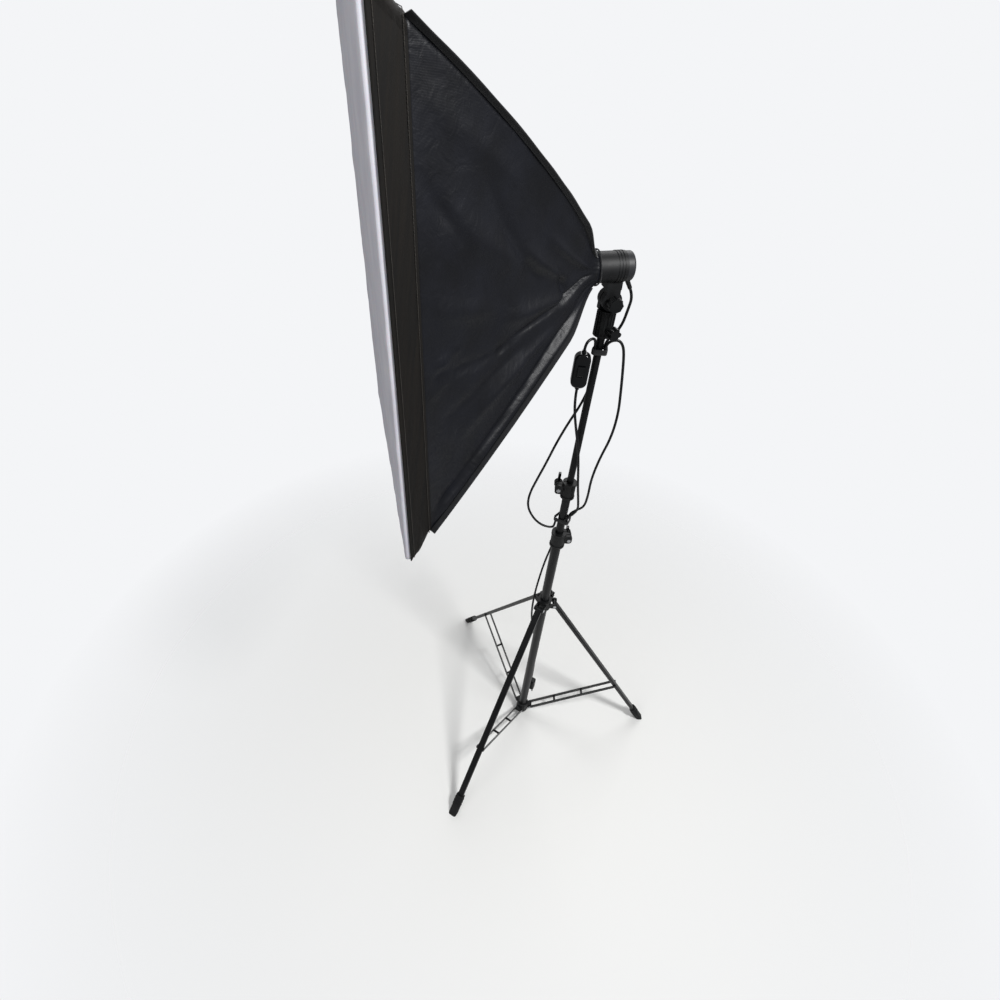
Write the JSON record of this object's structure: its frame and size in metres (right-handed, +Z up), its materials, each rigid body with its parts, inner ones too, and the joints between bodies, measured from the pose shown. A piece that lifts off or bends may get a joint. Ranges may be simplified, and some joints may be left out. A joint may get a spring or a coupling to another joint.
{
  "type": "studio softbox",
  "caption": "Rectangular cloth softbox with a white front diffuser on a tilting lamp head, on a folding three-legged telescopic stand with an in-line switched lead.",
  "frame": {"origin": "floor point under the axis of the stand's tubes, at the level of the feet", "axes": "+Z up along the tubes; the light faces -Y; +X to the right of someone who stands behind the light and looks the way it shines, mirrored to the left for its subject"},
  "size_m": [0.6355, 0.763, 1.6907],
  "materials": {
    "tube_paint": "satin black powder coat",
    "collar_nylon": "matte black moulded",
    "knob_abs": "semi-gloss black",
    "zinc_steel": "zinc plated",
    "foot_rubber": "matte",
    "head_abs": "fine moulded grain",
    "cap_abs": "fine moulded grain, a little lighter",
    "socket_resin": "matte",
    "brass": "plain",
    "nickel_brass": "nickel plated",
    "lamp_white": "smooth",
    "lamp_opal": "opal, satin",
    "spring_steel": "drawn wire",
    "side_nylon": "blue-black coated nylon",
    "band_nylon": "brownish black woven nylon",
    "trim_tape": "woven edge tape and cord",
    "hook_tape": "hook tape",
    "tie_tape": "hook-and-loop tape",
    "diffuser_cloth": "white woven diffusion cloth",
    "lead_pvc": "semi-matte PVC sheath",
    "switch_abs": "glossy black",
    "plug_pvc": "semi-matte moulded",
    "plug_brass": "nickel plated"
  },
  "bodies": {
    "column": {"lower_tube": "tube_paint", "lower_hub": "collar_nylon", "hub_pins": "zinc_steel", "lower_collar": "collar_nylon", "lower_clamp_bolt": "zinc_steel", "lead_lower": "lead_pvc", "plug_body": "plug_pvc", "plug_pins": "plug_brass"},
    "leg_collar": {"leg_collar": "collar_nylon", "leg_pins": "zinc_steel"},
    "leg_lock": {"leg_lock_knob": "knob_abs"},
    "leg_1": {"leg_1": "tube_paint", "foot_1": "foot_rubber"},
    "leg_2": {"leg_2": "tube_paint", "foot_2": "foot_rubber"},
    "leg_3": {"leg_3": "tube_paint", "foot_3": "foot_rubber"},
    "strut_1": {"strut_1": "tube_paint"},
    "strut_2": {"strut_2": "tube_paint"},
    "strut_3": {"strut_3": "tube_paint"},
    "lower_knob": {"lower_clamp_knob": "knob_abs"},
    "mid": {"mid_tube": "tube_paint", "mid_bush": "collar_nylon", "upper_collar": "collar_nylon", "upper_clamp_bolt": "zinc_steel", "mid_tie": "tie_tape"},
    "upper_knob": {"upper_clamp_knob": "knob_abs"},
    "top": {"top_tube": "tube_paint", "top_bush": "collar_nylon", "spigot": "zinc_steel", "top_tie": "tie_tape", "lead_right": "lead_pvc", "lead_left": "lead_pvc", "lead_switch_in": "lead_pvc", "lead_switch_out": "lead_pvc", "switch_housing": "switch_abs"},
    "rocker": {"switch_rocker": "switch_abs"},
    "yoke": {"receiver": "collar_nylon", "tilt_bolt": "zinc_steel", "lead_head": "lead_pvc"},
    "receiver_knob": {"receiver_knob": "knob_abs"},
    "tilt_knob": {"tilt_knob": "knob_abs"},
    "head": {"head_barrel": "head_abs", "rear_cap": "cap_abs", "cable_gland": "head_abs", "socket_body": "socket_resin", "socket_contacts": "brass", "lamp_cap": "nickel_brass", "lamp_body": "lamp_white", "lamp_globe": "lamp_opal", "rib_ring": "collar_nylon", "ribs": "spring_steel", "panel_top": "side_nylon", "panel_bottom": "side_nylon", "panel_left": "side_nylon", "panel_right": "side_nylon", "edge_trim": "trim_tape", "rim_band": "band_nylon", "hook_strip": "hook_tape"},
    "diffuser": {"front_diffuser": "diffuser_cloth"}
  },
  "joints": [
    {"name": "legs_fold", "type": "slide", "parent": "column", "child": "leg_collar", "axis": [0, 0, 1], "range_m": [0, 0.193]},
    {"name": "leg_1_swing", "type": "hinge", "parent": "leg_collar", "child": "leg_1", "pos_m": [0.01838, -0.01838, 0.515], "axis": [0.7071, 0.7071, 0], "range_deg": [0, 29.36]},
    {"name": "strut_1_swing", "type": "hinge", "parent": "column", "child": "strut_1", "pos_m": [0.01556, -0.01556, 0.026], "axis": [-0.7071, -0.7071, 0], "range_deg": [0, 50.91]},
    {"name": "leg_2_swing", "type": "hinge", "parent": "leg_collar", "child": "leg_2", "pos_m": [0.00673, 0.02511, 0.515], "axis": [-0.9659, 0.2588, 0], "range_deg": [0, 29.36]},
    {"name": "strut_2_swing", "type": "hinge", "parent": "column", "child": "strut_2", "pos_m": [0.00569, 0.02125, 0.026], "axis": [0.9659, -0.2588, 0], "range_deg": [0, 50.91]},
    {"name": "leg_3_swing", "type": "hinge", "parent": "leg_collar", "child": "leg_3", "pos_m": [-0.02511, -0.00673, 0.515], "axis": [0.2588, -0.9659, 0], "range_deg": [0, 29.36]},
    {"name": "strut_3_swing", "type": "hinge", "parent": "column", "child": "strut_3", "pos_m": [-0.02125, -0.00569, 0.026], "axis": [-0.2588, 0.9659, 0], "range_deg": [0, 50.91]},
    {"name": "leg_lock_turn", "type": "hinge", "parent": "leg_collar", "child": "leg_lock", "pos_m": [-0.02121, 0.02121, 0.515], "axis": [-0.7071, 0.7071, 0], "range_deg": [-360, 0]},
    {"name": "mid_slide", "type": "slide", "parent": "column", "child": "mid", "axis": [0, 0, 1], "range_m": [-0.033, 0.42], "deforming": ["lead_lower"]},
    {"name": "lower_knob_turn", "type": "hinge", "parent": "column", "child": "lower_knob", "pos_m": [0.00408, 0.02314, 0.745], "axis": [-0.9848, 0.1736, 0], "range_deg": [-360, 0]},
    {"name": "top_slide", "type": "slide", "parent": "mid", "child": "top", "axis": [0, 0, 1], "range_m": [-0.228, 0.19], "deforming": ["lead_right", "lead_left", "lead_switch_out"]},
    {"name": "upper_knob_turn", "type": "hinge", "parent": "mid", "child": "upper_knob", "pos_m": [-0.00664, -0.02045, 0.891], "axis": [-0.9511, 0.309, 0], "range_deg": [-360, 0]},
    {"name": "switch_rock", "type": "hinge", "parent": "top", "child": "rocker", "pos_m": [0.02161, -0.03541, 1.185], "axis": [0.309, 0.9511, 0], "range_deg": [-12, 0]},
    {"name": "head_pan", "type": "hinge", "parent": "top", "child": "yoke", "pos_m": [0, 0, 1.25], "axis": [0, 0, 1], "range_deg": [-175, 175]},
    {"name": "receiver_knob_turn", "type": "hinge", "parent": "yoke", "child": "receiver_knob", "pos_m": [0.02934, 0.00624, 1.257], "axis": [0.9781, 0.2079, 0], "range_deg": [-360, 0]},
    {"name": "tilt_knob_turn", "type": "hinge", "parent": "yoke", "child": "tilt_knob", "pos_m": [0.02, 0, 1.3058], "axis": [1, 0, 0], "range_deg": [-360, 0]},
    {"name": "head_tilt", "type": "hinge", "parent": "yoke", "child": "head", "pos_m": [0, 0, 1.3058], "axis": [1, 0, 0], "range_deg": [-80, 30], "deforming": ["lead_head"]},
    {"name": "diffuser_off", "type": "slide", "parent": "head", "child": "diffuser", "axis": [0, -0.9989, -0.0471], "range_m": [0, 0.25]}
  ],
  "couplings": [
    {"joint": "leg_1_swing", "follows": "legs_fold", "rad_per_m": 2.6548},
    {"joint": "strut_1_swing", "follows": "legs_fold", "rad_per_m": 4.6035},
    {"joint": "leg_2_swing", "follows": "legs_fold", "rad_per_m": 2.6548},
    {"joint": "strut_2_swing", "follows": "legs_fold", "rad_per_m": 4.6035},
    {"joint": "leg_3_swing", "follows": "legs_fold", "rad_per_m": 2.6548},
    {"joint": "strut_3_swing", "follows": "legs_fold", "rad_per_m": 4.6035}
  ]
}
